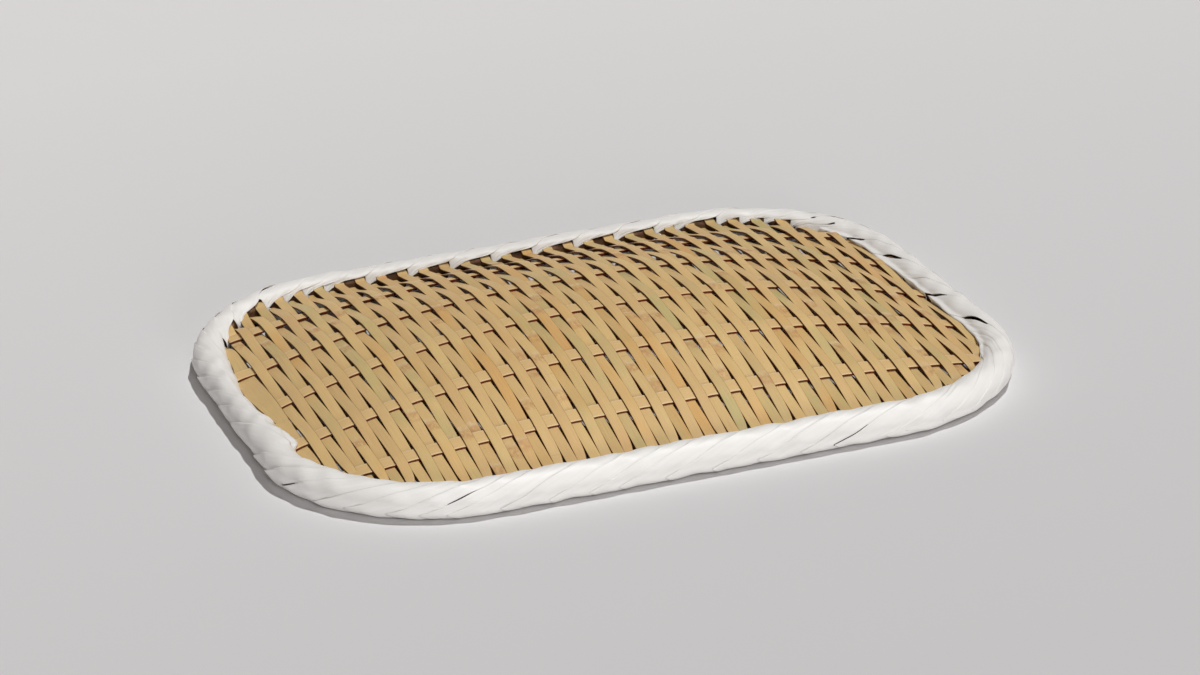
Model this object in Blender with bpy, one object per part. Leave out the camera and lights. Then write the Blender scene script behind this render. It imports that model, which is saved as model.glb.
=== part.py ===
# Rectangular bamboo zaru, a flat draining basket, lying domed side up on its rim.
# Metres, +X along the long side, +Y to the back, +Z up, origin in the middle of the footprint.
# Long flat slivers (wefts) run front to back over and under five wide splints (warps).
# Every end turns down between two bamboo hoops, and a tape binds hoops and weave together.

import math

import bmesh
import bpy
import numpy as np

# Tray, measured over the binding
TRAY_LENGTH = 0.3635
TRAY_WIDTH = 0.2876
CORNER_RADIUS = 0.0874       # outer edge, seen from above
RIM_WIDTH = 0.0164
RIM_HEIGHT = 0.016
REST_FLAT_DEPTH = 0.0005     # how deep the round binding is flattened where it rests
CREST_HEIGHT = 0.0342        # middle of the warps' thickness at the top of the dome
DOME_FOOT_HEIGHT = 0.01      # where the dome would meet the inner edge of the rim
EDGE_RISE = 0.0033           # how far the bed lifts there to run over the inner hoop

# Weave
WEFT_PITCH = 0.0055
WEFT_WIDTH = 0.0049
WEFT_END_WIDTH = 0.0038      # wefts narrow where the tape passes between them
WEFT_THICKNESS = 0.0008
WARP_COUNT = 5
WARP_SPACING = 0.0453
WARP_WIDTH = 0.009
WARP_THICKNESS = 0.0012
WARP_SHIFT = -0.0052         # the warps sit a little nearer the front
CROSSING_RUN = 0.0011        # level stretch of a weft past each edge of a warp
FIT_GAP = 0.0003             # between pieces that touch

# Rim, inside the binding
CORNER_ALLOWANCE = 0.00015   # room for the straight facets of curved pieces
TAPE_BOW = 0.0007            # room for the flat tape where it bridges a corner
BEND_DROP = 0.0025           # fall of the weave from the tape to the slot between the hoops
END_DEPTH = 0.006            # how far the ends turn down into the slot
TURN_BACK = 0.002            # depth of the turn that joins two wefts
SCARF_LENGTH = 0.025         # slanted joint of a hoop
SCARF_GAP = 0.0012

# Binding tape
TAPE_THICKNESS = 0.0006
TAPE_WAIST = 0.0008          # width of the tape where it is drawn between two wefts
TAPE_EDGE_GAP = 0.0016       # between neighbouring turns
TAPE_WARP_GAP = 0.001
LEAST_TURN_GAP = 0.0004

# Counts and shares
SAMPLES_ACROSS_TAPE = 5
DOME_LENGTH_POWER = 2.3
DOME_WIDTH_POWER = 2.05
EDGE_RISE_POWER = 12
# Gaps between wefts that the tape dives through, left to right, as shares of half the bed
FRONT_DIVE_SHARES = [-1, -0.933, -0.867, -0.767, -0.667, -0.567, -0.467, -0.367, -0.3, -0.167,
                     -0.033, 0.067, 0.167, 0.3, 0.433, 0.567, 0.667, 0.767, 0.867, 0.933, 1]
BACK_DIVE_SHARES = [-1, -0.967, -0.9, -0.8, -0.733, -0.667, -0.6, -0.467, -0.333, -0.2,
                    -0.067, 0.067, 0.2, 0.333, 0.467, 0.533, 0.667, 0.733, 0.8, 0.867, 0.933, 1]
SHORT_SIDE_SHARE = 0.85      # dives further out belong to the tape of the short side
WEFTS_PER_WARP_STEP = 2      # weft pitches between two stations of a warp
CORNER_STEPS = 12
DIVE_ANGLE = 136             # degrees round the rim's section where the tape dives, 0 is outward
DIVE_SPAN = 15
TAPER_SHARE = 0.6
# Station angles of one turn after the dive, in degrees, with the tape's share of its advance.
# The two stations marked None lie at the ends of the flat that the rim rests on.
TURN_STATION_SHARES = [
    (168, -0.03, TAPER_SHARE), (190, -0.08, 1), (212, -0.14, 1), (232, -0.2, 1),
    (None, -0.25, 1), (None, -0.3, 1),
    (310, -0.27, 1), (332, -0.16, 1), (354, 0.01, 1), (376, 0.2, 1), (398, 0.39, 1),
    (420, 0.58, 1), (442, 0.76, 1), (464, 0.92, TAPER_SHARE),
]
HOOP_ANGLES = [-82, -50, -18, 18, 50, 82]
INNER_HOOP_ANGLES = [-82, -50, -18, 8]
HOOP_SHOULDER_SHARE = 0.66   # of the inner hoop's reach, where its top begins to round off

# Derived sizes
HALF_RIM = RIM_WIDTH / 2
LINE_X = TRAY_LENGTH / 2 - HALF_RIM      # centre line of the rim
LINE_Y = TRAY_WIDTH / 2 - HALF_RIM
LINE_RADIUS = CORNER_RADIUS - HALF_RIM
STRAIGHT_X = LINE_X - LINE_RADIUS        # half lengths of the straight sides
STRAIGHT_Y = LINE_Y - LINE_RADIUS
CORNER_ARC = LINE_RADIUS * math.pi / 2
PERIMETER = 4 * (STRAIGHT_X + STRAIGHT_Y + CORNER_ARC)
RIM_SEMI_HEIGHT = (RIM_HEIGHT + REST_FLAT_DEPTH) / 2
RIM_CENTRE = RIM_HEIGHT - RIM_SEMI_HEIGHT
INNER_X = TRAY_LENGTH / 2 - RIM_WIDTH
INNER_Y = TRAY_WIDTH / 2 - RIM_WIDTH
CROSSING_OFFSET = (WARP_THICKNESS + WEFT_THICKNESS) / 2 + FIT_GAP
THICKEST = max(WARP_THICKNESS, WEFT_THICKNESS)
SLOT_HALF = THICKEST / 2 + FIT_GAP + CORNER_ALLOWANCE
HOOP_REACH = HALF_RIM - TAPE_THICKNESS - FIT_GAP - TAPE_BOW
HOOP_SEMI_HEIGHT = RIM_CENTRE - TAPE_THICKNESS - FIT_GAP
DIVE_S = (HALF_RIM - TAPE_THICKNESS / 2) * math.cos(math.radians(DIVE_ANGLE))
DIVE_Z = RIM_CENTRE + (RIM_SEMI_HEIGHT - TAPE_THICKNESS / 2) * math.sin(math.radians(DIVE_ANGLE))
BEND_Z = DIVE_Z - BEND_DROP
RUN_SLOPE = BEND_DROP / -DIVE_S
END_Z = BEND_Z - END_DEPTH
HALF_WEFTS = int((INNER_X - FIT_GAP - CORNER_ALLOWANCE + (WEFT_PITCH - WEFT_WIDTH) / 2) / WEFT_PITCH)
WEFT_COUNT = 2 * HALF_WEFTS
WARP_PLACES = [WARP_SHIFT + (i - (WARP_COUNT - 1) / 2) * WARP_SPACING for i in range(WARP_COUNT)]


def weft_place(index):
    return (index - (WEFT_COUNT - 1) / 2) * WEFT_PITCH


def bed_height(x, y):
    """Dome of the bed, which fades to its foot at the rim and lifts a little to cross the hoop."""
    along = np.abs(x / INNER_X)
    across = np.abs(y / INNER_Y)
    dome = (1 - along ** DOME_LENGTH_POWER) * (1 - across ** DOME_WIDTH_POWER)
    rise = along ** EDGE_RISE_POWER + across ** EDGE_RISE_POWER
    return DOME_FOOT_HEIGHT + (CREST_HEIGHT - DOME_FOOT_HEIGHT) * dome + EDGE_RISE * rise


def rim_point(distance, s):
    """Point at a distance along the rim's centre line, anticlockwise from the middle of the front,
    and s outward from it."""
    quarter = PERIMETER / 4
    distance = distance % PERIMETER
    right_half = distance < 2 * quarter
    along = np.where(right_half, distance, distance - 2 * quarter)
    flip = np.where(right_half, 1, -1)
    side_start = STRAIGHT_X + CORNER_ARC
    side_end = side_start + 2 * STRAIGHT_Y
    back_start = side_end + CORNER_ARC
    turn_one = np.clip(along - STRAIGHT_X, 0, CORNER_ARC) / LINE_RADIUS
    turn_two = np.clip(along - side_end, 0, CORNER_ARC) / LINE_RADIUS
    angle = turn_one + turn_two - math.pi / 2
    centre_x = np.minimum(along, STRAIGHT_X) - np.maximum(along - back_start, 0)
    centre_y = np.clip(along - side_start, 0, 2 * STRAIGHT_Y) - STRAIGHT_Y
    x = centre_x + (LINE_RADIUS + s) * np.cos(angle)
    y = centre_y + (LINE_RADIUS + s) * np.sin(angle)
    return flip * x, flip * y


def rim_depth(x, s):
    """How far from the middle a line of constant x meets the curve s outward from the centre line."""
    past = np.maximum(np.abs(x) - STRAIGHT_X, 0)
    return STRAIGHT_Y + np.sqrt(np.maximum((LINE_RADIUS + s) ** 2 - past ** 2, 0))


def rim_reach(y, s):
    past = max(abs(y) - STRAIGHT_Y, 0)
    return STRAIGHT_X + math.sqrt(max((LINE_RADIUS + s) ** 2 - past ** 2, 0))


def warp_half_length(place):
    """A warp goes into the rim on the straight of the short side, else it stops beside a weft."""
    edge = abs(place) + WARP_WIDTH / 2
    if edge < STRAIGHT_Y:
        return None
    room = rim_reach(edge, DIVE_S) - WEFT_PITCH / 2
    return int(room / WEFT_PITCH) * WEFT_PITCH - FIT_GAP / 2


def end_stations(thickness):
    """Places s and z of a strip's two faces where it meets the tape, bends, and ends in the slot."""
    half = thickness / 2
    slope = math.atan(RUN_SLOPE)
    mitre = (math.pi / 2 - slope) / 2
    lean = slope + mitre
    reach = half / math.cos(mitre)
    bend = (reach * math.sin(lean), reach * math.cos(lean))
    return [
        ((DIVE_S, DIVE_Z), (0, half / math.cos(slope))),
        ((0, BEND_Z), bend),
        ((0, END_Z), (half, 0)),
    ]


def collection_for(name):
    group = bpy.data.collections.new(name)
    bpy.context.scene.collection.children.link(group)
    return group


def linear(hex_colour):
    """Linear RGBA of an sRGB colour."""
    parts = [int(hex_colour[i:i + 2], 16) / 255 for i in (1, 3, 5)]
    return [p / 12.92 if p <= 0.04045 else ((p + 0.055) / 1.055) ** 2.4 for p in parts] + [1]


def plain_material(name, hex_colour, roughness):
    material = bpy.data.materials.new(name)
    material.use_nodes = True
    shader = material.node_tree.nodes["Principled BSDF"]
    shader.inputs["Base Color"].default_value = linear(hex_colour)
    shader.inputs["Roughness"].default_value = roughness
    shader.inputs["Metallic"].default_value = 0
    return material


def loft_faces(ring_count, side_count, first_cap=True, last_cap=True):
    """Quads between neighbouring rings of a loft, with its end caps."""
    faces = []
    for r in range(ring_count - 1):
        for c in range(side_count):
            d = (c + 1) % side_count
            a = r * side_count
            b = a + side_count
            faces.append((a + c, a + d, b + d, b + c))
    if first_cap:
        faces.append(tuple(reversed(range(side_count))))
    if last_cap:
        start = (ring_count - 1) * side_count
        faces.append(tuple(range(start, start + side_count)))
    return faces


def add_solid(name, points, faces, material, group):
    """Mesh object from points and faces, with its faces turned outward."""
    mesh = bpy.data.meshes.new(name)
    mesh.from_pydata([tuple(p) for p in points], [], faces)
    mesh.validate()
    edit = bmesh_outward(mesh)
    edit.materials.append(material)
    solid = bpy.data.objects.new(name, edit)
    group.objects.link(solid)
    return solid


def bmesh_outward(mesh):
    work = bmesh.new()
    work.from_mesh(mesh)
    bmesh.ops.recalc_face_normals(work, faces=work.faces)
    bmesh.ops.triangulate(work, faces=work.faces)
    work.to_mesh(mesh)
    work.free()
    return mesh


# Wefts

def weft_rings(index, side):
    """Rings of four corners from the end at one side (-1 front, 1 back) to the other end.
    Corners run left top, right top, right bottom, left bottom; top becomes outer in the slot."""
    x = weft_place(index)
    rings = []
    ends = end_stations(WEFT_THICKNESS)
    for edge_side in (side, -side):
        group = []
        for (s, z), (ds, dz) in reversed(ends):
            corners = []
            for lateral, face in ((-1, 1), (1, 1), (1, -1), (-1, -1)):
                px = x + lateral * WEFT_END_WIDTH / 2
                py = edge_side * rim_depth(px, s + face * ds)
                corners.append((px, py, z + face * dz))
            group.append(corners)
        rings.append(group)
    bed = []
    for number, place in enumerate(WARP_PLACES):
        limit = warp_half_length(place)
        if limit is not None and abs(x) > limit:
            continue
        over = -1 if (index + number) % 2 else 1
        for step in (-1, 1):
            y = place + step * (WARP_WIDTH / 2 + CROSSING_RUN)
            corners = []
            for lateral, face in ((-1, 1), (1, 1), (1, -1), (-1, -1)):
                px = x + lateral * WEFT_WIDTH / 2
                z = bed_height(px, y) + over * CROSSING_OFFSET + face * WEFT_THICKNESS / 2
                corners.append((px, y, z))
            bed.append((y, corners))
    bed.sort(key=lambda item: item[0] * -side)
    return rings[0] + [corners for y, corners in bed] + list(reversed(rings[1]))


def weft_pair(first, side):
    """Two neighbouring wefts made from one sliver, turned back under the rim at one side."""
    near = weft_rings(first, side)
    far = weft_rings(first + 1, side)
    points = [p for ring in near for p in ring]
    faces = loft_faces(len(near), 4, first_cap=False)
    base = len(points)
    points += [p for ring in far for p in ring]
    faces += [tuple(base + i for i in face) for face in loft_faces(len(far), 4, first_cap=False)]
    foot = len(points)
    columns = [near[0][0], near[0][1], far[0][0], far[0][1]]
    inner = [near[0][3], near[0][2], far[0][3], far[0][2]]
    for x, y, z in columns + inner:
        points.append((x, y, z - TURN_BACK))
    top = [0, 1, base, base + 1]
    top_inner = [3, 2, base + 3, base + 2]
    for c in range(3):
        faces.append((top[c], top[c + 1], foot + c + 1, foot + c))
        faces.append((top_inner[c], top_inner[c + 1], foot + 5 + c, foot + 4 + c))
        faces.append((foot + c, foot + c + 1, foot + 5 + c, foot + 4 + c))
    faces.append((top[0], top_inner[0], foot + 4, foot))
    faces.append((top[3], top_inner[3], foot + 7, foot + 3))
    faces.append((top[1], top[2], top_inner[2], top_inner[1]))
    return points, faces


def add_wefts(group):
    tints = ["#D3B27A", "#CDAE79", "#C9B07C", "#D6AF74", "#CBA873"]
    for pair in range(HALF_WEFTS):
        side = 1 if pair % 2 else -1
        points, faces = weft_pair(2 * pair, side)
        name = f"weft_pair_{pair + 1:02d}"
        material = plain_material(name + "_bamboo", tints[(3 * pair) % len(tints)], 0.45)
        add_solid(name, points, faces, material, group)


# Warps

def warp_rings(place):
    limit = warp_half_length(place)
    step = WEFT_PITCH * WEFTS_PER_WARP_STEP
    last = limit if limit is not None else weft_place(WEFT_COUNT - 1) + WEFT_WIDTH / 2 + FIT_GAP
    count = 2 * math.ceil(last / step)
    rings = []
    for x in np.linspace(-last, last, count + 1):
        corners = []
        for lateral, face in ((-1, 1), (1, 1), (1, -1), (-1, -1)):
            py = place + lateral * WARP_WIDTH / 2
            corners.append((x, py, bed_height(x, py) + face * WARP_THICKNESS / 2))
        rings.append(corners)
    if limit is None:
        for side in (-1, 1):
            tail = []
            for (s, z), (ds, dz) in end_stations(WARP_THICKNESS):
                corners = []
                for lateral, face in ((-1, 1), (1, 1), (1, -1), (-1, -1)):
                    px = side * (LINE_X + s + face * ds)
                    corners.append((px, place + lateral * WARP_WIDTH / 2, z + face * dz))
                tail.append(corners)
            rings = rings + tail if side > 0 else list(reversed(tail)) + rings
    return rings


def add_warps(group):
    for number, place in enumerate(WARP_PLACES):
        rings = warp_rings(place)
        points = [p for ring in rings for p in ring]
        name = f"warp_{number + 1}"
        material = plain_material(name + "_bamboo", "#D9B77F", 0.45)
        add_solid(name, points, loft_faces(len(rings), 4), material, group)


# Hoops

def outer_hoop_section():
    """Half round: a flat face towards the weave and a bowed back towards the tape."""
    section = []
    for angle in HOOP_ANGLES:
        a = math.radians(angle)
        section.append([HOOP_REACH * math.cos(a), RIM_CENTRE + HOOP_SEMI_HEIGHT * math.sin(a)])
    section[0][0] = SLOT_HALF
    section[-1][0] = SLOT_HALF
    return section


def inner_hoop_section():
    """The same, cut down at the top so that the weave runs over it."""
    section = []
    for angle in INNER_HOOP_ANGLES:
        a = math.radians(angle)
        section.append([-HOOP_REACH * math.cos(a), RIM_CENTRE + HOOP_SEMI_HEIGHT * math.sin(a)])
    section[0][0] = -SLOT_HALF
    clearance = (THICKEST / 2 + FIT_GAP) * math.sqrt(1 + RUN_SLOPE ** 2)
    for s in (-HOOP_REACH * HOOP_SHOULDER_SHARE, -SLOT_HALF):
        section.append([s, BEND_Z - RUN_SLOPE * s - clearance])
    return section


def hoop_rings(section, joint):
    """The section carried once round the rim, its two ends meeting in a slanted joint."""
    corners = []
    for start in (STRAIGHT_X, PERIMETER / 2 - STRAIGHT_X - CORNER_ARC,
                  PERIMETER / 2 + STRAIGHT_X, PERIMETER - STRAIGHT_X - CORNER_ARC):
        corners += [start + CORNER_ARC * i / CORNER_STEPS for i in range(CORNER_STEPS + 1)]
    stops = sorted((c - joint) % PERIMETER + joint for c in corners)
    section = np.array(section)
    reach = section[:, 0]
    lean = SCARF_LENGTH * ((reach - reach.min()) / np.ptp(reach) - 1 / 2)
    rings = [(joint + lean + SCARF_GAP / 2)]
    rings += [np.full(len(section), stop) for stop in stops]
    rings += [(joint + PERIMETER + lean - SCARF_GAP / 2)]
    points = []
    for distances in rings:
        x, y = rim_point(distances, reach)
        points += list(zip(x, y, section[:, 1]))
    return points, len(rings)


def add_hoops(group):
    parts = (("inner_hoop", inner_hoop_section(), 0, "#C99A63"),
             ("outer_hoop", outer_hoop_section(), PERIMETER / 2, "#C4935C"))
    for name, section, joint, colour in parts:
        points, count = hoop_rings(section, joint)
        material = plain_material(name + "_bamboo", colour, 0.5)
        add_solid(name, points, loft_faces(count, len(section)), material, group)


# Binding tape

def slit_distance(index, side, s):
    """Distance along the rim at which the tape, s from the centre line, passes the gap between
    wefts that lies index pitches from the middle, on the front (-1) or the back (1)."""
    x = abs(index) * WEFT_PITCH
    past = max(x - STRAIGHT_X, 0)
    along = min(x, STRAIGHT_X) + LINE_RADIUS * math.asin(min(past / (LINE_RADIUS + s), 1))
    along = math.copysign(along, index)
    return along if side < 0 else PERIMETER / 2 - along


def tape_dives():
    """Where each turn dives through the bed: a function of s, half the width there, and its side."""
    dives = []
    for side, name, shares in ((-1, "front", FRONT_DIVE_SHARES), (1, "back", BACK_DIVE_SHARES)):
        for index in sorted({round(share * HALF_WEFTS) for share in shares}):
            end = "right" if index > 0 else "left"
            length = end if abs(index) > SHORT_SIDE_SHARE * HALF_WEFTS else name
            dives.append((index, side, None, TAPE_WAIST / 2, length))
    middle = STRAIGHT_X + CORNER_ARC + STRAIGHT_Y
    waist = WARP_SPACING / 4 - WARP_WIDTH / 2 - TAPE_WARP_GAP
    for place in WARP_PLACES:
        if warp_half_length(place) is None:
            for step in (-1, 1):
                y = place + step * WARP_SPACING / 4
                dives.append((None, 0, middle + y, waist, "right"))
                dives.append((None, 0, PERIMETER - middle - y, waist, "left"))
    dives.sort(key=lambda dive: dive_distance(dive, DIVE_S) % PERIMETER)
    return dives


def dive_distance(dive, s):
    index, side, fixed, waist, length = dive
    return fixed if fixed is not None else slit_distance(index, side, s)


def section_place(angle, inset):
    """Point s, z on the rim's section, inset from its outer face and flattened where it rests."""
    a = math.radians(angle)
    s = (HALF_RIM - inset) * math.cos(a)
    z = RIM_CENTRE + (RIM_SEMI_HEIGHT - inset) * math.sin(a)
    return s, max(z, inset)


def turn_table(dives):
    """Angle, distance along the rim and half width of each station of every turn, in order.
    A turn runs from one dive, under the inner hoop, round the outside and over to the next."""
    flat = math.degrees(math.asin(RIM_CENTRE / RIM_SEMI_HEIGHT))
    flats = [180 + flat, 360 - flat]
    leave, arrive = DIVE_ANGLE + DIVE_SPAN, DIVE_ANGLE - DIVE_SPAN
    count = len(dives)
    rows = []
    for turn in range(count):
        here, after = dives[turn], dives[(turn + 1) % count]
        start = dive_distance(here, section_place(leave, TAPE_THICKNESS / 2)[0]) % PERIMETER
        stop = dive_distance(after, section_place(arrive, TAPE_THICKNESS / 2)[0]) % PERIMETER
        stop += PERIMETER if stop < start else 0
        row = [(leave, start, 0, here[3])]
        pending = list(flats)
        for angle, share, fullness in TURN_STATION_SHARES:
            angle = pending.pop(0) if angle is None else angle
            row.append((angle, start + share * (stop - start), fullness, 0))
        row.append((arrive + 360, stop, 0, after[3]))
        rows.append(row)
    return rows


def tape_stations(dives):
    """Stations with the tape's half width, which leaves a gap to the turns on both sides."""
    rows = turn_table(dives)
    count = len(rows)
    stations = []
    for turn, row in enumerate(rows):
        filled = []
        for place, (angle, distance, fullness, waist) in enumerate(row):
            before = rows[turn - 1][place][1] % PERIMETER
            after = rows[(turn + 1) % count][place][1] % PERIMETER
            room = min((distance - before) % PERIMETER, (after - distance) % PERIMETER)
            half = fullness * (room - TAPE_EDGE_GAP) / 2 if fullness else waist
            filled.append((angle, distance, half))
        stations.append(filled)
    return stations


def tape_points(run):
    """Corners of the tape at each station: outer face then inner face, across its width."""
    points = []
    for angle, distance, half in run:
        for inset, lateral in ((0, -1), (0, 1), (TAPE_THICKNESS, 1), (TAPE_THICKNESS, -1)):
            s, z = section_place(angle, inset)
            x, y = rim_point(np.array(distance + lateral * half), s)
            points.append((float(x), float(y), z))
    return points


def least_turn_gap(points, per_turn):
    """Least distance between points of one winding that lie at least half a turn apart."""
    rings = np.array(points).reshape(-1, 4, 3)
    shares = np.linspace(0, 1, SAMPLES_ACROSS_TAPE)
    across = [rings[:, 0] * (1 - t) + rings[:, 1] * t for t in shares]
    across += [rings[:, 3] * (1 - t) + rings[:, 2] * t for t in shares]
    cloud = np.stack(across, axis=1)
    middle = (cloud[1:] + cloud[:-1]) / 2
    cloud = np.concatenate([cloud[:-1], middle], axis=1)
    least = np.inf
    for i in range(len(cloud) - per_turn // 2):
        rest = cloud[i + per_turn // 2:].reshape(-1, 3)
        gaps = np.linalg.norm(cloud[i][:, None, :] - rest[None, :, :], axis=2)
        least = min(least, gaps.min())
    return least


def add_binding(group):
    """Four lengths of tape, one to each side, each cut off flat under the inner hoop."""
    dives = tape_dives()
    stations = tape_stations(dives)
    per_turn = len(TURN_STATION_SHARES) + 2
    first_cut = [i for i, row in enumerate(TURN_STATION_SHARES) if row[0] is None][0]
    for length in ("front", "right", "back", "left"):
        turns = [i for i, dive in enumerate(dives) if dive[4] == length]
        start = next(i for i in turns if dives[i - 1][4] != length)
        turns = [(start + i) % len(dives) for i in range(len(turns))]
        run = list(stations[turns[0] - 1][first_cut + 1:])
        for turn in turns[:-1]:
            run += stations[turn]
        run += stations[turns[-1]][:first_cut + 1]
        points = tape_points(run)
        gap = least_turn_gap(points, per_turn)
        print(f"binding_{length}: {len(turns)} turns, least gap {gap * 1000:.2f} mm")
        if gap < LEAST_TURN_GAP:
            print("  turns lie too close")
        material = plain_material(f"binding_{length}_tape", "#F1EFEC", 0.6)
        add_solid(f"binding_{length}", points, loft_faces(len(run), 4), material, group)


def main():
    for old in list(bpy.data.objects):
        bpy.data.objects.remove(old, do_unlink=True)
    group = collection_for("bamboo_zaru")
    add_wefts(group)
    add_warps(group)
    add_hoops(group)
    add_binding(group)


main()
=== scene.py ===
import math

import bpy
import numpy as np
from mathutils import Matrix, Vector


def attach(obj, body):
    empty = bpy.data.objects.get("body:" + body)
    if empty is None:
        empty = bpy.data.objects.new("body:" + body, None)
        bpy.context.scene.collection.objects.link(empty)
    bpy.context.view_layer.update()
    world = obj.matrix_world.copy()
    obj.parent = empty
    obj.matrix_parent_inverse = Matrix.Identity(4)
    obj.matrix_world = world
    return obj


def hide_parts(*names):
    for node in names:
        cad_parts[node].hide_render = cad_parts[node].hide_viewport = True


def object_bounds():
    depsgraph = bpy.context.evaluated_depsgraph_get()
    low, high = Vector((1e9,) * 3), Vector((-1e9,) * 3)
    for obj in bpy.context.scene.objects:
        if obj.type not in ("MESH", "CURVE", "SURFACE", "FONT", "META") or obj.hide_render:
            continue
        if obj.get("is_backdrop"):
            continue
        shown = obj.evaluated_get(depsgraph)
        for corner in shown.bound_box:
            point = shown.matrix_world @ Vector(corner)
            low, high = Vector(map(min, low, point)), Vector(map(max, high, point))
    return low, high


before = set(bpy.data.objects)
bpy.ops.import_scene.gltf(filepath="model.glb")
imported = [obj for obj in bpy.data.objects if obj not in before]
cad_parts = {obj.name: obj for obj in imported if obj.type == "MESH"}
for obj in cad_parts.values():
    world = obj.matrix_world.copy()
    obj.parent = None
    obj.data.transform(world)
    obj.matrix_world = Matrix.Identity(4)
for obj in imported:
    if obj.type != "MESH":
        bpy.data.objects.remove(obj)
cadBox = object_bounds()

# Looks of a rectangular bamboo zaru that lies domed side up on its rim.
# x runs along the tray and y to its back. Lengths in the settings are millimetres unless a note
# says metres, and meshes are written in metres. A place along the rim is counted anticlockwise
# from the middle of the front, and an angle round its section in degrees: 0 outward, 90 up,
# 180 inward, and on to the next lap.

mmToMetres = 0.001
uvUnit = 100  # millimetres of surface to one unit of UV

tray = {
    "length": 363.5,
    "width": 287.6,
    "cornerRadius": 87.4,
    "rimWidth": 16.4,
    "rimCentreHeight": 7.75,
    "rimSemiHeight": 8.25,
    "crestHeight": 34.2,
    "domeFootHeight": 10.0,
    "lengthPower": 2.3,
    "widthPower": 2.05,
    "weftPitch": 5.5,
    "halfWefts": 30,
    "warpSpacing": 45.3,
    "warpShift": -5.2,
    "warpCount": 5,
}
halfRim = tray["rimWidth"] / 2
lineX = tray["length"] / 2 - halfRim  # the rim's centre line
lineY = tray["width"] / 2 - halfRim
lineRadius = tray["cornerRadius"] - halfRim
straightX = lineX - lineRadius
straightY = lineY - lineRadius
cornerArc = lineRadius * math.pi / 2
perimeter = 4 * (straightX + straightY + cornerArc)
rightMiddle, leftMiddle = perimeter / 4, perimeter * 3 / 4
innerX = lineX - halfRim
innerY = lineY - halfRim
weftCount = 2 * tray["halfWefts"]
warpPlaces = [tray["warpShift"] + (i - (tray["warpCount"] - 1) / 2) * tray["warpSpacing"]
              for i in range(tray["warpCount"])]

# How far in over the weave the tape lies on the short sides, by place along the rim. Negative: the
# rim is narrower there, and the outermost weft reaches further out.
inwardReach = [(0, 0), (155, 0), (174, 0.3), (197, 1.5), (217, 2.5), (240, 3.4), (264, 1.3),
               (285, 1.4), (300, 2.0), (312, 3.6), (322, 4.1), (338, 2.8), (366, 2.5), (380, 0),
               (749, 0), (773, -0.9), (793, -3.5), (810, -4.6), (830, -3.3), (849, -0.8),
               (851, -2.4), (858, -1.0), (864, 0.6), (879, 3.0), (882, -1.0), (892, -1.3),
               (905, 0), (915, 0.8), (930, 0), (1100.6, 0)]

# Gaps between wefts that the tape dives through, counted from the middle
frontDives = [-28, -26, -23, -20, -17, -14, -11, -9, -5, -1, 2, 5, 9, 13, 17, 20, 23, 26]
backDives = [-29, -27, -24, -22, -20, -18, -14, -10, -6, -2, 2, 6, 10, 14, 16, 20, 22, 24, 26]


def smoothStep(x, low, high):
    # 0 up to low, 1 from high on, and three squares less two cubes of the share between
    t = np.clip((x - low) / (high - low), 0, 1)
    return t * t * (3 - 2 * t)


def wave(seed, x, period, count=4):
    # Smooth noise of one variable: a sum of sines of random phase and nearby periods
    rng = np.random.default_rng(seed)
    total = np.zeros_like(np.asarray(x, float))
    for i in range(count):
        share = rng.uniform(0.6, 1.6)
        total = total + np.sin(2 * math.pi * x / (period * share) + rng.uniform(0, 2 * math.pi))
    return total / math.sqrt(count)


def wobble(sizeSeedPeriod, number, x):
    # A wave of the set size and period, another one for each number
    size, seed, period = sizeSeedPeriod
    return size * wave(seed + number, x, period)


def fromTable(table, x):
    # Value at x on straight lines between the table's points
    return np.interp(x, *np.array(table, float).T)


def pinchAt(distance):
    # How far the inner side of the rim is drawn in towards its middle
    return np.maximum(-fromTable(inwardReach, distance % perimeter), 0)


def bedHeight(x, y):
    # Dome over the foot: one minus a power of the share of the way out, both ways, multiplied
    along = np.abs(x / innerX)
    across = np.abs(y / innerY)
    dome = (1 - along ** tray["lengthPower"]) * (1 - across ** tray["widthPower"])
    return tray["domeFootHeight"] + (tray["crestHeight"] - tray["domeFootHeight"]) * dome


def rimPoint(distance, s):
    # Point at a distance along the rim's centre line and s outward from it: a straight stretch, a
    # quarter circle, a short side, a quarter circle and a straight stretch, turned for the back
    distance = np.asarray(distance, float) % perimeter
    half = perimeter / 2
    flip = np.where(distance < half, 1, -1)
    along = np.where(distance < half, distance, distance - half)
    sideStart = straightX + cornerArc
    sideEnd = sideStart + 2 * straightY
    turnOne = np.clip(along - straightX, 0, cornerArc) / lineRadius
    turnTwo = np.clip(along - sideEnd, 0, cornerArc) / lineRadius
    angle = turnOne + turnTwo - math.pi / 2
    centreX = np.minimum(along, straightX) - np.maximum(along - sideEnd - cornerArc, 0)
    centreY = np.clip(along - sideStart, 0, 2 * straightY) - straightY
    x = centreX + (lineRadius + s) * np.cos(angle)
    y = centreY + (lineRadius + s) * np.sin(angle)
    return flip * x, flip * y


def rimDepth(x, s):
    # y of the rim's line moved s outward, at the back, above a given x
    past = np.maximum(np.abs(x) - straightX, 0)
    return straightY + np.sqrt(np.maximum((lineRadius + s) ** 2 - past ** 2, 0))


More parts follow.
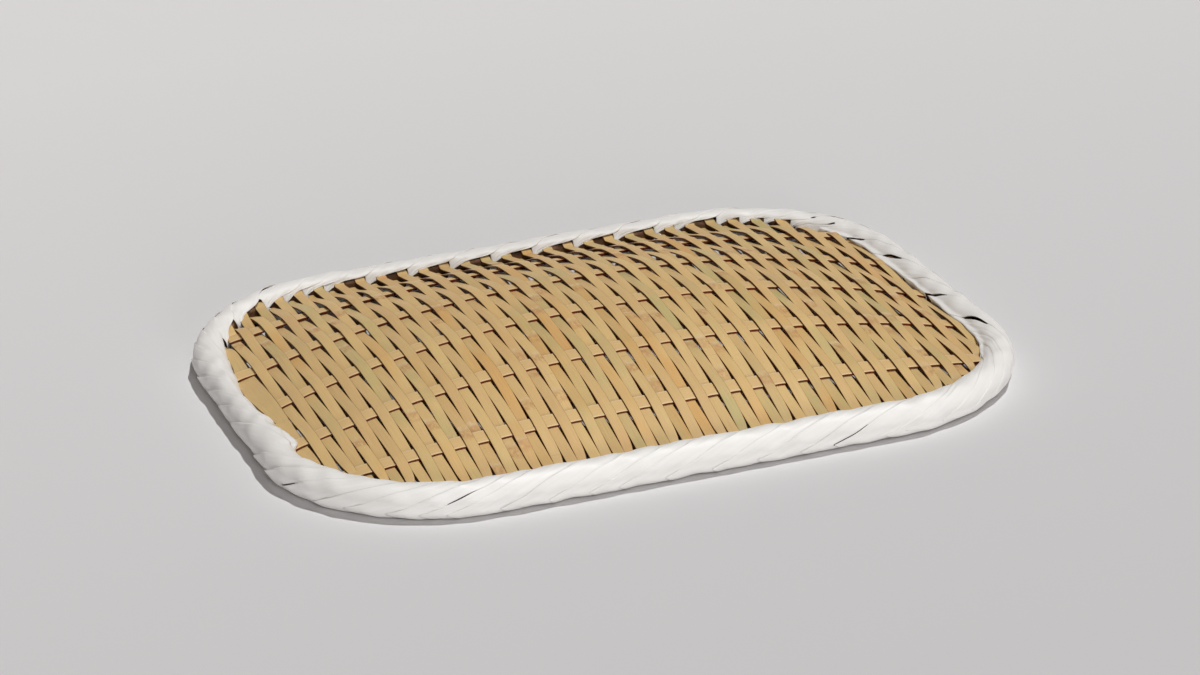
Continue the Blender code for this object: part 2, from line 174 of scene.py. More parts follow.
def addMesh(name, rings, turned, attributes, uv):
    # Smooth closed tube from rings of points in mm: quads from ring to ring, and a flat face at
    # both ends. turned is for rings that run clockwise seen from the last one.
    rows, columns = rings.shape[:2]
    r = np.arange(rows - 1)[:, None]
    c = np.arange(columns)[None, :]
    a = r * columns + c
    b = r * columns + (c + 1) % columns
    quads = np.stack([a, b, b + columns, a + columns], -1).reshape(-1, 4)
    first = np.arange(columns)[None, ::-1]
    last = np.arange(columns)[None, :] + (rows - 1) * columns
    faces = [face for block in (quads, first, last)
             for face in (block[:, ::-1] if turned else block).tolist()]
    mesh = bpy.data.meshes.new(name)
    mesh.from_pydata((rings.reshape(-1, 3) * mmToMetres).tolist(), [], faces)
    mesh.polygons.foreach_set("use_smooth", np.ones(len(mesh.polygons), bool))
    loops = np.empty(len(mesh.loops), np.int32)
    mesh.loops.foreach_get("vertex_index", loops)
    layer = mesh.uv_layers.new(name="UVMap")
    layer.data.foreach_set("uv", uv.reshape(-1, 2)[loops].astype(np.float32).ravel())
    for key, values in attributes.items():
        values = np.broadcast_to(values, (rows, columns)).astype(np.float32)
        mesh.attributes.new(key, "FLOAT", "POINT").data.foreach_set("value", values.ravel())
    mesh.update()
    piece = bpy.data.objects.new(name, mesh)
    bpy.context.scene.collection.objects.link(piece)
    return piece


def dressNode(piece, material, node):
    piece.data.materials.append(material)
    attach(piece, "root")
    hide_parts(node)


def unit(v):
    return v / np.linalg.norm(v, axis=-1, keepdims=True)


def sweepStrip(path, side, halfWidth, halfThickness, profile, roll):
    # Rings of a strip: the profile's across and up shares, placed along the path. side is roughly
    # across the strip, up is square to the path and to it, and roll turns both about the path.
    tangent = unit(np.gradient(path, axis=0))
    side = unit(side - (side * tangent).sum(-1, keepdims=True) * tangent)
    up = np.cross(side, tangent)
    c, s = np.cos(roll)[:, None], np.sin(roll)[:, None]
    side, up = side * c + up * s, up * c - side * s
    across = profile[None, :, 0] * halfWidth[:, None]
    lift = profile[None, :, 1] * halfThickness[:, None]
    return path[:, None] + side[:, None] * across[..., None] + up[:, None] * lift[..., None]


def superellipse(count, power):
    # Across and up shares round a section: cosine and sine with their size raised to the power
    angle = np.arange(count) / count * 2 * math.pi
    shares = np.stack([np.cos(angle), np.sin(angle)])
    return np.sign(shares) * np.abs(shares) ** power


def stripProfile(count, power, crown):
    # Flat section with rounded edges, its top crowned
    across, up = superellipse(count, power)
    return np.stack([across, up + crown * (1 - across ** 2) * (up > 0)], -1)


# Wefts, in pairs made from one sliver turned back under the rim

weft = {
    "width": 5.42,
    "thickness": 0.85,
    "profile": (16, 0.3, 0.16),  # points, power and crown
    # Wobbles: size, seed and period of a wave
    "widthWobble": (0.06, 211, 45),
    "sideWobble": (0.05, 11, 60),
    "offsetWobble": (0.1, 611, 40),
    "rollWobble": (0.03, 511, 90),
    # Growth of the outermost weft on the left per mm that the rim is narrower there
    "outerWidening": 1.2,
    # Swing above and below the bed, and what it gains to the back and to the right: how much,
    # from which y or x, and to which
    "offset": 1.1,
    "offsetBack": (0.8, 0, 110),
    "offsetRight": (0.25, 0, 150),
    "roundShare": 0.5,  # share of a cosine in the swing, the rest is a triangle wave
    "sideFade": 12,  # the lean and the extra width fade over this distance to the rim
    "slopeReach": 3,  # distance over which the bed's slope is taken
    # Front and back: height at the rim of the wefts that go over the inner hoop, and of those
    # inside it, and how fast they come to it
    "rimHeights": {True: (11.0, 12.3), False: (9.3, 10.0)},
    "rimFade": (2.2, 5.0),
    "fingerWidth": 2.7,  # how far a finger of tape pushes an edge in at the rim, and its fade
    "fingerFade": 4,
    # Distance from the rim's centre line and height, from the rim's inner edge down into the rim:
    # odd wefts go over the inner hoop, even ones and the last ones on the right down inside it
    "overStations": [(-7.3, 12.4), (-6.3, 12.75), (-5.3, 13.1), (-4.3, 13.4), (-3.3, 13.5),
                     (-2.3, 13.2), (-1.3, 12.3), (-0.5, 11.2), (-0.1, 10), (0, 8.6), (0, 7),
                     (0, 5.4)],
    "insideStations": [(-7.3, 9.3), (-6.9, 9.1), (-6.6, 8.6), (-6.45, 7.8), (-6.4, 6.6),
                       (-6.4, 5.4)],
    "lastInside": 4,
    # The stations take this share of the step in height from the bed to the first of them, and
    # it fades over so many stations
    "joinShare": {True: 0.6, False: 0.9},
    "joinStations": 1.2,
    "insideWidth": 1.6,  # width inside the rim, and the heights over which the ends narrow to it
    "narrowing": (6, 8.5),
    "bedStations": 190,
    "turnStations": 9,
    # The bamboo's nodes, at random places this far from the middle at most: how many, how long,
    # how much thicker, and the distance from which they no longer count
    "nodeSeed": 900,
    "nodesEach": 2,
    "nodeReach": 170,
    "nodeLength": 3,
    "nodeBulge": 0.35,
    "farFromNode": 20,
    "toneSeed": 77,
    # Up shares of the profile: nearer the middle than the first it is a cut side, painted dark
    # red-brown as shade, and below the second the underside, painted browner as shade
    "cutBelow": 0.8,
    "underBelow": -0.5,
    # Shift of the pattern across and along from weft to weft, and where it starts again
    "patternShift": (13.7, 37, 997),
}


def squeezeAtRim(index, dives):
    # How far the fingers of tape push the two edges of an even weft in at the rim
    left = index - tray["halfWefts"]
    if index % 2:
        return 0, 0
    return tuple(weft["fingerWidth"] * (gap in dives) for gap in (left, left + 1))


def swing(phase):
    # Rise and fall of a weft between warps: a cosine blended with a triangle wave
    c = np.cos(math.pi * phase)
    return weft["roundShare"] * c + (1 - weft["roundShare"]) * np.arcsin(c) * 2 / math.pi


def gained(sizeLowHigh, x):
    # Part of the size that is reached at x, none at low and all at high
    size, low, high = sizeLowHigh
    return size * smoothStep(x, low, high)


def weftRun(index, turn):
    # Path, width, distance to the nearest node and roll of one weft, from its end on the side
    # -turn to the one on the side turn. Its height is the bed's, more or less the swing between
    # warps, and comes exponentially to the stations' at the rim.
    x0 = (index - (weftCount - 1) / 2) * tray["weftPitch"]
    depth = rimDepth(x0, -halfRim)
    over = index % 2 == 1 and index < weftCount - weft["lastInside"]
    stations = np.array(weft["overStations" if over else "insideStations"])
    count = len(stations)
    yEnd = rimDepth(x0, stations[:, 0])
    y = np.concatenate([-yEnd[::-1], np.linspace(-depth, depth, weft["bedStations"]), yEnd])
    inner = depth - np.abs(y)
    fromRim = np.maximum(inner, 0)

    fade = np.exp(-fromRim / weft["fingerFade"])
    squeezes = [squeezeAtRim(index, dives) for dives in (frontDives, backDives)]
    squeezes = np.where((y < 0)[:, None], *squeezes) * fade[:, None]
    x = x0 + (squeezes[:, 0] - squeezes[:, 1]) / 2
    x = x + wobble(weft["sideWobble"], index, y) * (1 - fade)
    width = weft["width"] + wobble(weft["widthWobble"], index, y) - squeezes.sum(-1)
    level = smoothStep(inner, 0, weft["sideFade"])
    if index == 0:
        wider = weft["outerWidening"] * pinchAt(leftMiddle - y) * level
        x, width = x - wider / 2, width + wider

    offset = weft["offset"] + wobble(weft["offsetWobble"], index, y)
    offset = offset + gained(weft["offsetBack"], y) + gained(weft["offsetRight"], x0)
    phase = (y - warpPlaces[0]) / tray["warpSpacing"]
    z = bedHeight(x0, y) + (-1) ** index * offset * swing(phase)
    rimHeight = np.where(y < 0, *weft["rimHeights"][over])
    atRim = np.where(y < 0, z[count], z[-count - 1])
    z = z + (rimHeight - atRim) * np.exp(-fromRim / np.where(y < 0, *weft["rimFade"]))

    heights = stations[:, 1]
    share = np.exp(-np.arange(count) / weft["joinStations"]) * weft["joinShare"][over]
    low = smoothStep(heights, *weft["narrowing"])
    inside = weft["insideWidth"]
    for zEnd, widthEnd, joined in ((z[:count][::-1], width[:count][::-1], z[count]),
                                   (z[-count:], width[-count:], z[-count - 1])):
        zEnd[:] = heights + (joined - heights[0]) * share
        widthEnd[:] = inside + (widthEnd - inside) * low

    rng = np.random.default_rng(weft["nodeSeed"] + index)
    fromNodes = y[:, None] - rng.uniform(-1, 1, weft["nodesEach"]) * weft["nodeReach"]
    fromNode = fromNodes[np.arange(len(y)), np.abs(fromNodes).argmin(1)]
    fromNode = np.clip(fromNode, -weft["farFromNode"], weft["farFromNode"])

    reach = weft["slopeReach"]
    lean = np.arctan((bedHeight(x0 + reach, y) - bedHeight(x0 - reach, y)) / (2 * reach))
    roll = (lean + wobble(weft["rollWobble"], index, y)) * level
    path = np.stack([x, y, z], -1)
    if turn < 0:
        return path[::-1], width[::-1], fromNode[::-1], -roll[::-1]
    return path, width, fromNode, roll


def weftPair(pair):
    # One weft, a half circle down between the hoops to the next, and that weft back: path, sides,
    # width, distance to the nearest node, roll, and the number of the weft for every station
    turn = 1 if pair % 2 else -1
    order = (2 * pair, 2 * pair + 1)[::turn]
    pathA, widthA, nodeA, rollA = weftRun(order[0], turn)
    pathB, widthB, nodeB, rollB = (run[::-1] for run in weftRun(order[1], turn))
    angle = np.linspace(0, math.pi, weft["turnStations"] + 2)[1:-1]
    start, stop = pathA[-1], pathB[0]
    radius = (stop[0] - start[0]) / 2
    arc = np.stack([(start[0] + stop[0]) / 2 - radius * np.cos(angle),
                    start[1] + (stop[1] - start[1]) * (1 - np.cos(angle)) / 2,
                    start[2] - np.abs(radius) * np.sin(angle)], -1)
    sideArc = np.stack([turn * np.cos(angle), 0 * angle, np.sin(angle)], -1)
    path = np.concatenate([pathA, arc, pathB])
    side = np.concatenate([np.tile([turn, 0, 0], (len(pathA), 1)), sideArc,
                           np.tile([-turn, 0, 0], (len(pathB), 1))])
    width = np.concatenate([widthA, np.full(len(angle), weft["insideWidth"]), widthB])
    fromNode = np.concatenate([nodeA, np.full(len(angle), weft["farFromNode"]), nodeB])
    roll = np.concatenate([rollA, 0 * angle, -rollB])
    isSecond = np.arange(len(path)) >= len(pathA) + len(angle) // 2
    return path, side, width, fromNode, roll, np.where(isSecond, order[1], order[0])


def addWefts():
    profile = stripProfile(*weft["profile"])
    acrossShare, upShare = profile.T
    shiftAcross, shiftAlong, repeat = weft["patternShift"]
    tones = np.random.default_rng(weft["toneSeed"]).uniform(0, 1, (weftCount, 3))
    for pair in range(tray["halfWefts"]):
        path, side, width, fromNode, roll, index = weftPair(pair)
        bulge = np.exp(-(fromNode / weft["nodeLength"]) ** 4)
        thickness = weft["thickness"] / 2 * (1 + weft["nodeBulge"] * bulge)
        rings = sweepStrip(path, side, width / 2, thickness, profile, roll)
        steps = np.linalg.norm(np.diff(path, axis=0), axis=1)
        length = np.concatenate([[0], np.cumsum(steps)])
        u = acrossShare[None, :] * width[:, None] / 2 + shiftAcross * index[:, None]
        v = (length + shiftAlong * index % repeat)[:, None] + 0 * u
        attributes = {"tone" + letter: tones[index, i:i + 1] for i, letter in enumerate("ABC")}
        attributes["fromNode"] = fromNode[:, None]
        # Marks the cut sides, which the material paints dark red-brown as shade
        attributes["cut"] = np.abs(upShare) < weft["cutBelow"]
        # Marks the underside, which the material paints browner as shade
        attributes["under"] = upShare < weft["underBelow"]
        uv = np.stack([u, v], -1) / uvUnit
        piece = addMesh(f"weftPair{pair + 1:02d}", rings, True, attributes, uv)
        dressNode(piece, weftMaterial, f"weft_pair_{pair + 1:02d}")


# Warps

warp = {
    "width": 9.0,
    "thickness": 1.05,
    "profile": (20, 0.26, 0.12),  # points, power and crown
    "widthWobble": (0.12, 31, 70),  # size, seed and period
    "wave": 0.1,  # rise and fall over and under the wefts
    "stationStep": 1.1,
    "slopeReach": 4,
    "rollRange": (-1, 10),  # distance from the rim over which the lean fades in
    "limit": {0: 154.4, 4: 159.8},  # where the first and last warp stop, in the corners
    # The others: distance from the rim's centre line and height of their ends in the rim
    "endStations": [(-8, 9.75), (-7.5, 9.5), (-7.15, 8.9), (-6.95, 8), (-6.9, 6.8), (-6.9, 5)],
    "pinchFade": 6,  # last stretch over which the left ends follow the narrower rim outward
    # The cut sides are painted dark red-brown as shade
    "cutRange": (-0.95, 0.8),  # up shares of the profile that are its cut sides
    # The underside is painted browner as shade
    "underBelow": -0.5,
    "patternShift": (29.3, 211),  # across and along from warp to warp
}


def addWarps():
    # Each warp runs along the bed at its own y, less a cosine that dips it under every other weft
    profile = stripProfile(*warp["profile"])
    acrossShare, upShare = profile.T
    low, high = warp["cutRange"]
    shiftAcross, shiftAlong = warp["patternShift"]
    for number, y in enumerate(warpPlaces):
        limit = warp["limit"].get(number, innerX)
        x = np.linspace(-limit, limit, int(2 * limit / warp["stationStep"]))
        over = np.cos(math.pi * (x / tray["weftPitch"] + (weftCount - 1) / 2 + number))
        z = bedHeight(x, y) - warp["wave"] * over
        if number not in warp["limit"]:
            xEnd, zEnd = np.array(warp["endStations"]).T
            x = np.concatenate([-lineX - xEnd[::-1], x, lineX + xEnd])
            z = np.concatenate([zEnd[::-1], z, zEnd])
            x = x - pinchAt(leftMiddle - y) * smoothStep(-x, innerX - warp["pinchFade"], innerX)
        path = np.stack([x, np.full_like(x, y), z], -1)
        side = np.tile([0, -1, 0], (len(x), 1))
        reach = warp["slopeReach"]
        slope = (bedHeight(x, y + reach) - bedHeight(x, y - reach)) / (2 * reach)
        roll = -np.arctan(slope) * smoothStep(innerX - np.abs(x), *warp["rollRange"])
        width = warp["width"] + wobble(warp["widthWobble"], number, x)
        thickness = np.full(len(x), warp["thickness"] / 2)
        rings = sweepStrip(path, side, width / 2, thickness, profile, roll)
        across = acrossShare[None, :] * width[:, None] / 2
        along = x[:, None] + 0 * across
        uv = [across + shiftAcross * number, along + shiftAlong * number]
        uv = np.stack(uv, -1) / uvUnit
        # The cut sides are painted dark red-brown as shade, for the dash under the warp's edge
        attributes = {"cut": (upShare > low) & (upShare < high),
                      # The underside is painted browner as shade
                      "under": upShare < warp["underBelow"],
                      # distance from the edge, for a painted highlight along it
                      "fromEdge": warp["width"] / 2 - np.abs(across)}
        piece = addMesh(f"warp{number + 1}", rings, True, attributes, uv)
        dressNode(piece, warpMaterial, f"warp_{number + 1}")


# Hoops

hoop = {
    # Middle and half size of the section outward and in height, its power, the joint's share of
    # the way round, and how much of the rim's narrowing it follows
    "inner": {"centreS": -3.5, "halfS": 2.2, "centreZ": 7.9, "halfZ": 4.9, "power": 0.7,
              "joint": 0.0, "pinch": 0.8},
    "outer": {"centreS": 3.5, "halfS": 2.6, "centreZ": 7.75, "halfZ": 5.9, "power": 0.95,
              "joint": 0.5, "pinch": 0.0},
    "sectionCount": 20,
    "stations": 420,
    "scarfLength": 25.0,
    "scarfGap": 1.2,
    "crestRange": (0.75, 0.97),  # up shares of the section over which its crest begins
}


def addHoop(key):
    # The section carried once round the rim, its two ends meeting in a slanted joint
    own = hoop[key]
    across, up = superellipse(hoop["sectionCount"], own["power"])
    share = np.linspace(0, 1, hoop["stations"])[:, None]
    lean = hoop["scarfLength"] * across[None, :] / 2
    distance = own["joint"] * perimeter + lean + hoop["scarfGap"] / 2
    distance = distance + share * (perimeter - hoop["scarfGap"])
    outward = own["centreS"] + own["halfS"] * across[None, :] + own["pinch"] * pinchAt(distance)
    x, y = rimPoint(distance, outward)
    z = own["centreZ"] + own["halfZ"] * up + 0 * distance
    attributes = {"crest": smoothStep(up, *hoop["crestRange"])}
    uv = np.stack([z, distance], -1) / uvUnit
    piece = addMesh(key + "Hoop", np.stack([x, y, z], -1), True, attributes, uv)
    dressNode(piece, hoopMaterial, key + "_hoop")


# Binding tape

tape = {
    "angleSteps": 96,
    "acrossSteps": 22,
    "diveAngle": 149,  # where a turn begins and ends, on the inner side of the rim
    "splitAngle": 330,  # below it a turn comes up from its first dive, above it falls to the next
    "fingerHalf": 1.0,  # half the width where the tape dives between two wefts
    "fingerShift": 1.25,  # of such a dive towards the even weft, which is pushed in there
    "cornerShare": 0.85,  # dives of the long sides past this share of the wefts are at a corner
    "band": 26.0,  # least width of a turn
    "overlap": 4.0,  # least lap over the next turn
    "thickness": 0.12,
    "coreInset": 0.35,  # of what the tape is wound on, inside the section of the rim
    # How far a turn's trailing edge lies above its leading one
    "layerRise": {"front": 0.32, "right": 0.15, "back": 0.25, "left": 0.9},
    # Lift of the trailing edge at most, and the random share of it that a turn gets, how far
    # across it reaches, between which angles it is highest, and how far round it reaches
    "edgeLift": {"front": 0.6, "right": 0.15, "back": 0.25, "left": 0.6},
    "edgeShare": (0.1, 1),
    "edgeAcross": 2.5,
    "edgeAngle": (360, 430),
    "edgeReach": 35,
    # Crown of the tape by the dives and how far round it reaches, and the same for the pleats
    "fingerCrown": 0.35,
    "sideCrown": 0.1,
    "crownReach": 22,
    "pleat": 0.1,
    "pleatCount": (2.2, 3.4),
    "pleatReach": 60,
    # Swells of what the tape is wound on: height, and pairs of length along the rim and turns
    "bump": 0.3,
    "bumpWaves": [(31, 1), (15, 2), (19, 3), (73, 1), (26, 2)],
    "bumpPhase": 2.1,
    "seed": 4000,
    # Seams that stand open: middle and reach of the opening round the section, and half its width
    "openings": {"front": {-11: (30, 26, 0.7), -23: (-8, 24, 0.6), 23: (-10, 40, 0.4)},
                 "back": {26: (120, 10, 1.3), 24: (108, 9, 0.8)}},
    # Trailing edge behind the next dive, for angles round the section
    "trail": [(330, -69), (350, -63), (375, -55), (400, -47), (420, -40), (430, -36), (445, -32),
              (455, -29), (465, -26.8), (478, -24.5), (485, -21.5), (487, -18), (489, -12),
              (492, -8), (498, -5.2), (504, -2.6), (509, -1.3)],
    "sideTrail": [(330, -70), (360, -62), (390, -53), (420, -43), (439, -37), (452, -31),
                  (466, -24), (477, -18), (488, -12.5), (499, -6), (509, 0)],
    "slantFrom": 30,  # distance behind the dive at which a slant begins to straighten
    # Share of the first of those distances covered after the last dive, and the angles over which
    # the two parts of the edge meet
    "early": [(149, 0), (170, 0.06), (190, 0.2), (210, 0.38), (230, 0.55), (250, 0.68),
              (270, 0.79), (290, 0.88), (310, 0.95), (330, 1)],
    "earlyEnd": (322, 338),
    # Limits of the leading edge: how far it may pass the first and the next dive, per degree from
    # the first and below the angle for the next, its least lap over the next turn on the short
    # sides, and over how many stations its corners are smoothed
    "startSlope": 0.05,
    "stopSlope": 0.9,
    "stopAngle": 472,
    "sideLap": 1,
    "smoothing": 5,
    # Short sides: places along the side in winding direction, half width, slant and opening there
    "sideDives": {
        "right": [(-102, 10, 1.0, None), (-84, 10, 1.0, None), (-67, 10, 1.0, None),
                  (-51, 11, 1.0, None), (-27, 11.5, 1.0, (114, 20, 3.4)),
                  (2, 12, 0.6, (150, 45, 1.9)), (32, 14, 0.8, None), (66, 12, 1.0, (120, 15, 3.2)),
                  (91, 9, 1.0, (137, 14, 2.0)), (109, 9, 1.0, None)],
        "left": [(-64, 10, 0.8, None), (-45, 10, 0.8, None), (-26, 10, 0.8, None),
                 (-6, 10, 0.8, None), (15, 10, 0.8, None), (34, 10, 0.8, None),
                 (54, 10, 0.8, None), (76, 10, 0.8, None)]},
    # Where the tape lies in over the weave: the angle from which it reaches inward, how much
    # sooner it is held up, the least reach that counts, its height there and its fall
    "flareFrom": 497,
    "flareMargin": 30,
    "leastFlare": 0.3,
    "flareHeight": 12.5,
    "flareFall": 0.5,
    # Room under the rim for the overlaps, and the least height of the tape
    "bottomRoom": 0.7,
    "leastHeight": 0.02,
    # How much higher the crown of the rim stands at the back, along the rim, and over what angles
    "backRise": [(0, 0), (350, 0), (420, 0.9), (690, 0.9), (760, 0), (1100.6, 0)],
    "riseAngles": (380, 430, 475, 500),
    # How much further down than the dive angle the tape is seen to reach, along the rim
    "reach": [(0, 8), (110, 8), (200, 16), (378, 14), (400, 5), (480, 2), (570, 5),
              (640, 9), (700, 10), (760, 10), (900, 12), (980, 8), (1100.6, 8)],
    "reachWobble": (2.5, 63, 24),  # size, seed and period
    # Angles from which it counts at both ends of a turn, the same for the narrower rim's width,
    # and for its lower crown, whose drop is a share of the narrowing
    "reachAngles": ((470, 509), (149, 185)),
    "pinchAngles": ((430, 490), (149, 205)),
    "dropAngles": ((400, 460), (149, 205)),
    "crownDrop": 0.3,
    "patternShift": (0.6, 7),  # in UV from turn to turn, and after how many it starts again
}


def slitDistance(gap, side):
    # Place along the rim of a gap between wefts, where its inner edge crosses the gap's line
    s = halfRim * math.cos(math.radians(tape["diveAngle"]))
    x = gap * tray["weftPitch"] + tape["fingerShift"] * (1 if gap % 2 == 0 else -1)
    past = max(abs(x) - straightX, 0)
    along = min(abs(x), straightX) + lineRadius * math.asin(min(past / (lineRadius + s), 1))
    along = math.copysign(along, x)
    return (along if side < 0 else perimeter / 2 - along) % perimeter


def tapeDives():
    # Every dive in order along the rim: place, half the width there, the slant share of the
    # trailing edge, the opening beside it and the binding that ends there
    dives = []
    for side, name, gaps in ((-1, "front", frontDives), (1, "back", backDives)):
        for gap in gaps:
            atCorner = abs(gap) > tape["cornerShare"] * tray["halfWefts"]
            binding = ("right" if gap > 0 else "left") if atCorner else name
            dives.append({"place": slitDistance(gap, side), "half": tape["fingerHalf"],
                          "slant": None, "opening": tape["openings"][name].get(gap),
                          "binding": binding})
    for middle, name in ((rightMiddle, "right"), (leftMiddle, "left")):
        for offset, half, slant, opening in tape["sideDives"][name]:
            dives.append({"place": middle + offset, "half": half, "slant": slant,
                          "opening": opening, "binding": name})
    return sorted(dives, key=lambda dive: dive["place"])


turnAngles = np.linspace(tape["diveAngle"], tape["diveAngle"] + 360, tape["angleSteps"])


def diveAt(dives, i):
    # Dive i and its place, where numbers past the last go on into the next lap of the rim
    lap, number = divmod(i, len(dives))
    return dives[number], dives[number]["place"] + lap * perimeter


def trailingEdge(dives, i):
    # Distance of the trailing edge of the turn that ends at dive i, for every angle
    dive, place = diveAt(dives, i)
    before, beforePlace = diveAt(dives, i - 1)
    if dive["slant"] is None:
        table = tape["trail"]
        behind = fromTable(table, turnAngles)
    else:
        table = tape["sideTrail"]
        upper = fromTable(table, turnAngles)
        straighter = smoothStep(-upper, tape["slantFrom"], -table[0][1])
        behind = upper * (dive["slant"] + (1 - dive["slant"]) * straighter) - dive["half"]
    start = beforePlace - before["half"]
    early = start + (place + table[0][1] - start) * fromTable(tape["early"], turnAngles)
    blend = smoothStep(turnAngles, *tape["earlyEnd"])
    return early * (1 - blend) + (place + behind) * blend


def openingHalf(dive):
    # Half the width of the open seam beside a dive, a parabola over the angles that it reaches
    if dive["opening"] is None:
        return 0 * turnAngles
    middle, reach, half = dive["opening"]
    return half * np.maximum(1 - ((turnAngles - 360 - middle) / reach) ** 2, 0)


def leadingEdge(dives, i, trailing):
    # Over the next turn's trailing edge, but not far past the dives at both ends of the turn
    before, start = diveAt(dives, i - 1)
    dive, stop = diveAt(dives, i)
    after = diveAt(dives, i + 1)[0]
    nextTrailing = trailingEdge(dives, i + 1)
    leading = np.maximum(trailing + tape["band"], nextTrailing + tape["overlap"])
    fromTop = np.maximum(tape["stopAngle"] - turnAngles, 0)
    stopCap = stop + dive["half"] + tape["stopSlope"] * fromTop
    if dive["slant"] is not None and after["slant"] is not None:
        stopCap = np.maximum(stopCap, nextTrailing + tape["sideLap"])
    fromDive = turnAngles - tape["diveAngle"]
    startCap = start + before["half"] + fromDive * tape["startSlope"]
    isEarly = turnAngles < tape["earlyEnd"][0]
    leading = np.minimum(leading, np.where(isEarly, startCap, stopCap))
    gap = openingHalf(after)
    return np.where(gap > 0, np.minimum(leading, nextTrailing - gap), leading)


def turnGrid(dives, i):
    # Angle, distance and lift of one turn, for every station round the section and place across.
    # The lift falls from the trailing edge to the leading one, so turns overlap like shingles.
    rng = np.random.default_rng(tape["seed"] + i)
    dive = dives[i]
    trailing = trailingEdge(dives, i)
    leading = leadingEdge(dives, i, trailing)
    trailing = trailing + openingHalf(dive)
    leading = np.maximum(leading, trailing + 2 * tape["fingerHalf"])
    kernel = np.hanning(tape["smoothing"]) / np.hanning(tape["smoothing"]).sum()
    leading = np.convolve(np.pad(leading, len(kernel) // 2, mode="edge"), kernel, "valid")

    w = np.linspace(0, 1, tape["acrossSteps"])[None, :]
    angle = turnAngles[:, None] + 0 * w
    across = w * (leading - trailing)[:, None]
    fromDive = np.minimum(angle - tape["diveAngle"], tape["diveAngle"] + 360 - angle)
    fromDive = np.maximum(fromDive, 0)
    edge = rng.uniform(*tape["edgeShare"]) * tape["edgeLift"][dive["binding"]]
    fromHighest = (angle - rng.uniform(*tape["edgeAngle"])) / tape["edgeReach"]
    edge = edge * np.exp(-across / tape["edgeAcross"]) * np.exp(-fromHighest ** 2)
    crown = tape["fingerCrown"] if dive["slant"] is None else tape["sideCrown"]
    crown = crown * np.exp(-fromDive / tape["crownReach"]) * (1 - (2 * w - 1) ** 2)
    cycles = w * rng.uniform(*tape["pleatCount"]) + rng.uniform(0, 1)
    pleats = np.sin(2 * math.pi * cycles) * np.exp(-fromDive / tape["pleatReach"])
    lift = tape["layerRise"][dive["binding"]] * (1 - w) + edge + crown + tape["pleat"] * pleats
    return angle, trailing[:, None] + across, lift


def bumps(distance, angle):
    # Slow swell of what the tape is wound on, shared by all turns: a sum of sines
    total = 0
    for k, (length, turns) in enumerate(tape["bumpWaves"]):
        alongPhase = 2 * math.pi * round(perimeter / length) * distance / perimeter
        total = total + np.sin(alongPhase + turns * np.radians(angle) + tape["bumpPhase"] * k)
    return tape["bump"] * total / math.sqrt(len(tape["bumpWaves"]))


def endShare(angle, late, early):
    # 1 at both ends of a turn, by the dives, and 0 between
    return np.where(angle > tape["splitAngle"], smoothStep(angle, *late),
                    1 - smoothStep(angle, *early))


def sectionSurface(angle, distance, lift):
    # Points of the tape: an ellipse round the rim, held above the table, drawn in where the rim is
    # narrower, and laid in over the weave where the tape reaches further
    place = distance % perimeter
    reach = fromTable(tape["reach"], place) + wobble(tape["reachWobble"], 0, place)
    a = np.radians(angle + reach * endShare(angle, *tape["reachAngles"]))
    rise = fromTable(tape["backRise"], place)
    rise = rise * smoothStep(angle, *tape["riseAngles"][:2])
    rise = rise * (1 - smoothStep(angle, *tape["riseAngles"][2:]))
    radius = lift - tape["coreInset"] + bumps(distance, angle) + rise
    s = (halfRim + radius) * np.cos(a)
    z = tray["rimCentreHeight"] + (tray["rimSemiHeight"] + radius) * np.sin(a)
    z = np.maximum(z, np.maximum(tape["bottomRoom"] - lift, tape["leastHeight"]))

    flare = np.maximum(fromTable(inwardReach, place), 0)
    stop = tape["diveAngle"] + 360
    lies = np.clip((angle - tape["flareFrom"]) / (stop - tape["flareFrom"]), 0, 1)
    rest = tape["flareHeight"] + lift - tape["flareFall"] * lies
    isFlare = (flare > tape["leastFlare"]) & (angle > tape["flareFrom"] - tape["flareMargin"])
    z = np.where(isFlare, np.maximum(z, rest), z)

    pinch = pinchAt(distance)
    z = z - tape["crownDrop"] * pinch * endShare(angle, *tape["dropAngles"])
    s = s - flare * lies + pinch * endShare(angle, *tape["pinchAngles"])
    x, y = rimPoint(distance, s)
    return np.stack([x, y, z], -1)


def addBinding():
    # One closed tube per side of the rim: each ring is a turn's outer and then its inner surface
    dives = tapeDives()
    for name in ("front", "right", "back", "left"):
        turns = [i for i, dive in enumerate(dives) if dive["binding"] == name]
        first = next(i for i in turns if dives[i - 1]["binding"] != name)
        turns = [(first + step) % len(dives) for step in range(len(turns))]
        rings, uvs = [], []
        for i in turns:
            angle, distance, lift = turnGrid(dives, i)
            outer = sectionSurface(angle, distance, lift)
            inner = sectionSurface(angle, distance, lift - tape["thickness"])
            step, cycle = tape["patternShift"]
            u = (distance - distance[:, :1]) / uvUnit
            v = np.radians(angle - tape["diveAngle"]) * halfRim / uvUnit + step * (i % cycle)
            uv = np.stack([u, v], -1)
            # A turn's last ring is the next turn's first
            last = len(angle) if i == turns[-1] else -1
            rings.append(np.concatenate([outer, inner[:, ::-1]], axis=1)[:last])
            uvs.append(np.concatenate([uv, uv[:, ::-1]], axis=1)[:last])
        piece = addMesh(name + "Binding", np.concatenate(rings), False, {}, np.concatenate(uvs))
        dressNode(piece, tapeMaterial, "binding_" + name)
        print(name, "binding", len(turns), "turns")


# Materials

def colour(hexColour):
    # Linear RGBA of an sRGB colour, by the curve of that standard
    shares = np.array([int(hexColour[i:i + 2], 16) for i in (1, 3, 5)]) / 255
    linear = np.where(shares <= 0.04045, shares / 12.92, ((shares + 0.055) / 1.055) ** 2.4)
    return [*linear.tolist(), 1]


def newMaterial(name):
    material = bpy.data.materials.new(name)
    material.use_nodes = True
    tree = material.node_tree
    return material, tree, tree.nodes["Principled BSDF"]


